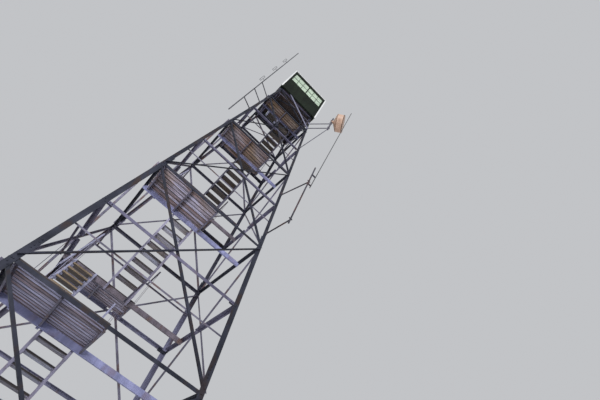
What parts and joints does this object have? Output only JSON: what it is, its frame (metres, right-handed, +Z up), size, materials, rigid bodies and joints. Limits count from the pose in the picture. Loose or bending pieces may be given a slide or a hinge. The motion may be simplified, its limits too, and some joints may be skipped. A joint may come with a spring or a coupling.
{
  "type": "fire lookout tower",
  "caption": "Tapered steel lattice tower on four legs with a switchback stair, landings and a square glazed lookout cab under a low hipped roof.",
  "frame": {"origin": "on the ground, midway between the four piers", "axes": "+Z up; +X to the right along the near face; +Y from the near face to the far face"},
  "size_m": [5.23, 5.23, 21.6],
  "materials": {
    "concrete": "rough cast concrete",
    "galvanised_steel": "dull weathered zinc coating",
    "weathered_timber": "weathered, stained",
    "floor_boards": "weathered",
    "green_paint": "dark green paint, weathered",
    "sash_paint": "satin dark green paint",
    "window_glass": "clear",
    "white_trim": "satin paint, weathered",
    "ceiling_paint": "pale green paint",
    "roof_metal": "weathered sheet",
    "whip_finish": "weathered",
    "dish_shell": "satin",
    "aluminium_pipe": "dull"
  },
  "bodies": {
    "root": {"concrete_piers": "concrete", "stair_footing": "concrete", "leg_shoes": "galvanised_steel", "near_left_leg": "galvanised_steel", "near_right_leg": "galvanised_steel", "far_right_leg": "galvanised_steel", "far_left_leg": "galvanised_steel", "splice_plates": "galvanised_steel", "gusset_plates": "galvanised_steel", "near_girts": "galvanised_steel", "right_girts": "galvanised_steel", "far_girts": "galvanised_steel", "left_girts": "galvanised_steel", "near_braces": "galvanised_steel", "right_braces": "galvanised_steel", "far_braces": "galvanised_steel", "left_braces": "galvanised_steel", "stair_beams": "galvanised_steel", "landing_joists": "galvanised_steel", "landings": "weathered_timber", "half_landings": "weathered_timber", "left_flight_stringers": "galvanised_steel", "right_flight_stringers": "galvanised_steel", "left_flight_treads": "weathered_timber", "right_flight_treads": "weathered_timber", "guard_rails": "galvanised_steel", "stair_handrails": "galvanised_steel", "cab_floor_frame": "galvanised_steel", "cab_floor": "floor_boards", "near_wall": "green_paint", "right_wall": "green_paint", "far_wall": "green_paint", "left_wall": "green_paint", "window_sashes": "sash_paint", "window_glass": "window_glass", "corner_trims": "white_trim", "cornice": "white_trim", "ceiling": "ceiling_paint", "roof": "roof_metal", "roof_cap": "roof_metal", "side_mast": "galvanised_steel", "whip_antenna": "whip_finish", "drum_antenna": "dish_shell", "drum_arm": "galvanised_steel", "dipole_mast": "aluminium_pipe"}
  },
  "joints": []
}
